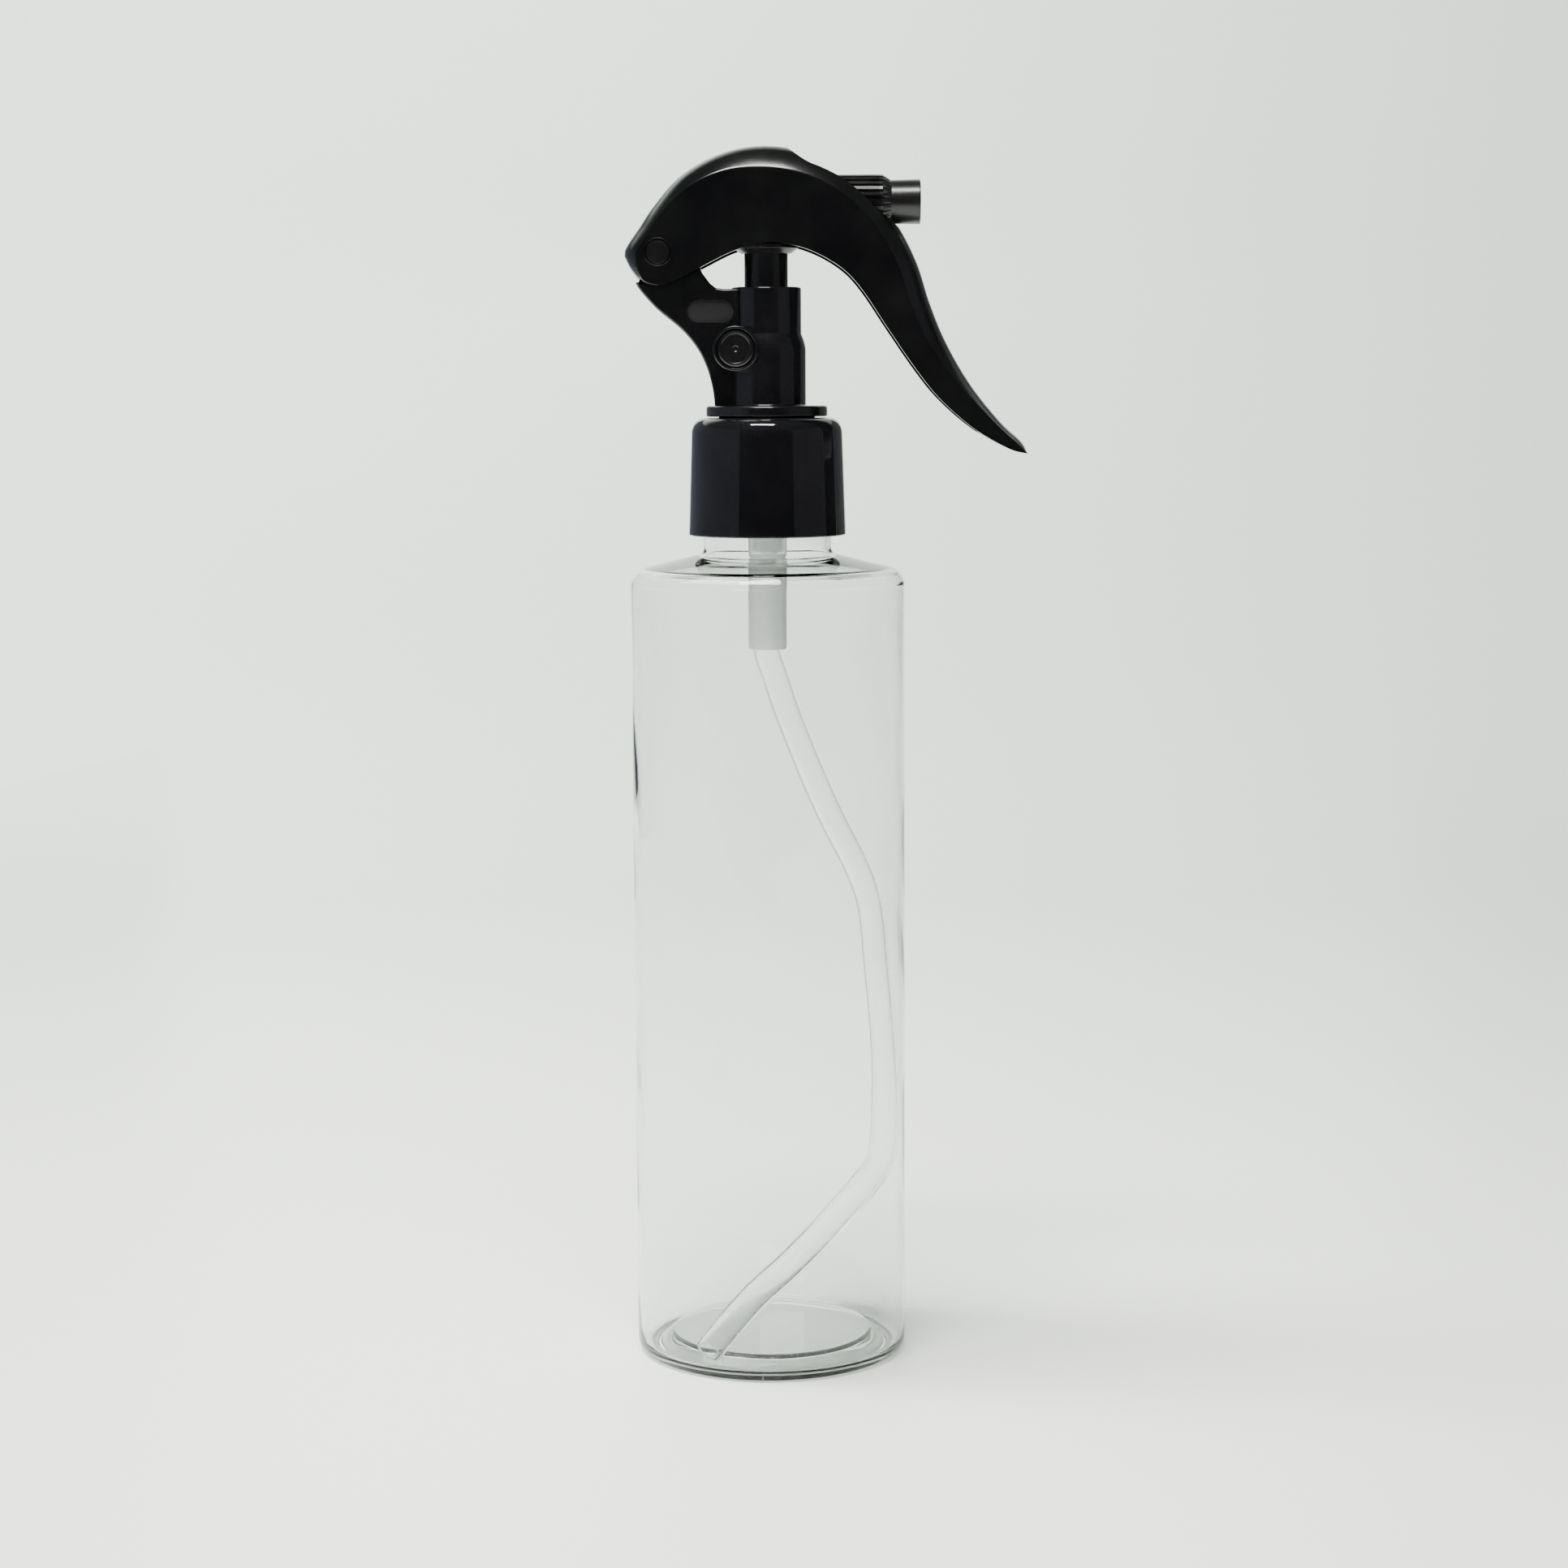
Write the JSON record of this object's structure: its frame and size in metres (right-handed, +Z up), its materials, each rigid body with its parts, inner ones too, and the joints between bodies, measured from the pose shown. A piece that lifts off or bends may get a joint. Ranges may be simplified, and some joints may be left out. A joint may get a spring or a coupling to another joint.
{
  "type": "hand mister",
  "caption": "Hand-held plant mister: clear cylindrical bottle with a screw-on black lever sprayer, twist nozzle, push-through lock and a dip tube.",
  "frame": {"origin": "centre of the object's footprint on the ground, level with the foot of the bottle; the bottle's own axis stands 10.8 mm towards -X", "axes": "+Z up along the bottle, +X the way the nozzle sprays, +Y to the left of someone looking along +X"},
  "size_m": [0.0726, 0.05, 0.2214],
  "materials": {
    "bottle": "clear gloss",
    "closure": "high gloss",
    "bottle_gasket": "foam, matt",
    "sprayer_body": "gloss",
    "trigger": "satin",
    "lock_button": "gloss",
    "actuator": "semi gloss",
    "nozzle": "satin",
    "nozzle_seal": "matt",
    "swirl_core": "natural, satin",
    "main_stem": "natural, satin",
    "outlet_ball": "polished",
    "piston": "natural, soft",
    "stem_seal": "matt",
    "stem_guide": "natural, satin",
    "return_spring": "bright drawn wire",
    "pump_housing": "natural, satin",
    "inlet_ball": "polished",
    "ball_retainer": "natural, satin",
    "dip_tube": "translucent"
  },
  "bodies": {
    "bottle": {"bottle": "bottle"},
    "gasket": {"bottle_gasket": "bottle_gasket"},
    "closure": {"closure": "closure"},
    "sprayer": {"sprayer_body": "sprayer_body", "pump_housing": "pump_housing", "stem_guide": "stem_guide", "stem_seal": "stem_seal", "ball_retainer": "ball_retainer", "dip_tube": "dip_tube", "return_spring": "return_spring"},
    "lever": {"trigger": "trigger"},
    "plunger": {"actuator": "actuator", "main_stem": "main_stem", "piston": "piston", "swirl_core": "swirl_core"},
    "nozzle_ring": {"nozzle_seal": "nozzle_seal"},
    "nozzle": {"nozzle": "nozzle"},
    "lock": {"lock_button": "lock_button"},
    "inlet_valve": {"inlet_ball": "inlet_ball"},
    "outlet_valve": {"outlet_ball": "outlet_ball"}
  },
  "joints": [
    {"name": "sprayer_lift", "type": "slide", "parent": "bottle", "child": "gasket", "axis": [0, 0, 1], "range_m": [0, 0.0048]},
    {"name": "closure_turn", "type": "hinge", "parent": "gasket", "child": "closure", "pos_m": [-0.01078, 0, 0.1687], "axis": [0, 0, 1], "range_deg": [0, 540]},
    {"name": "head_swivel", "type": "hinge", "parent": "gasket", "child": "sprayer", "pos_m": [-0.01078, 0, 0.1751], "axis": [0, 0, 1], "continuous": true},
    {"name": "trigger_pivot", "type": "hinge", "parent": "sprayer", "child": "lever", "pos_m": [-0.03008, 0, 0.2025], "axis": [0, 1, 0], "range_deg": [0, 16], "stiffness_Nm_per_rad": 0.45, "springref_deg": -5.73},
    {"name": "plunger_slide", "type": "slide", "parent": "sprayer", "child": "plunger", "axis": [0, 0, -1], "range_m": [0, 0.0055], "deforming": ["return_spring"]},
    {"name": "nozzle_travel", "type": "slide", "parent": "plunger", "child": "nozzle_ring", "axis": [1, 0, 0], "range_m": [0, 0.00125]},
    {"name": "nozzle_twist", "type": "hinge", "parent": "nozzle_ring", "child": "nozzle", "pos_m": [-0.00218, 0, 0.21155], "axis": [1, 0, 0], "range_deg": [0, 360]},
    {"name": "lock_push", "type": "slide", "parent": "sprayer", "child": "lock", "axis": [0, -1, 0], "range_m": [0, 0.0026]},
    {"name": "inlet_lift", "type": "slide", "parent": "sprayer", "child": "inlet_valve", "axis": [0, 0, 1], "range_m": [0, 0.0015]},
    {"name": "outlet_lift", "type": "slide", "parent": "plunger", "child": "outlet_valve", "axis": [0, 0, 1], "range_m": [0, 0.0012]}
  ],
  "couplings": [
    {"joint": "sprayer_lift", "follows": "closure_turn", "m_per_rad": 0.00050532},
    {"joint": "plunger_slide", "follows": "trigger_pivot", "m_per_rad": 0.0193},
    {"joint": "nozzle_travel", "follows": "nozzle_twist", "m_per_rad": 0.00019099}
  ]
}
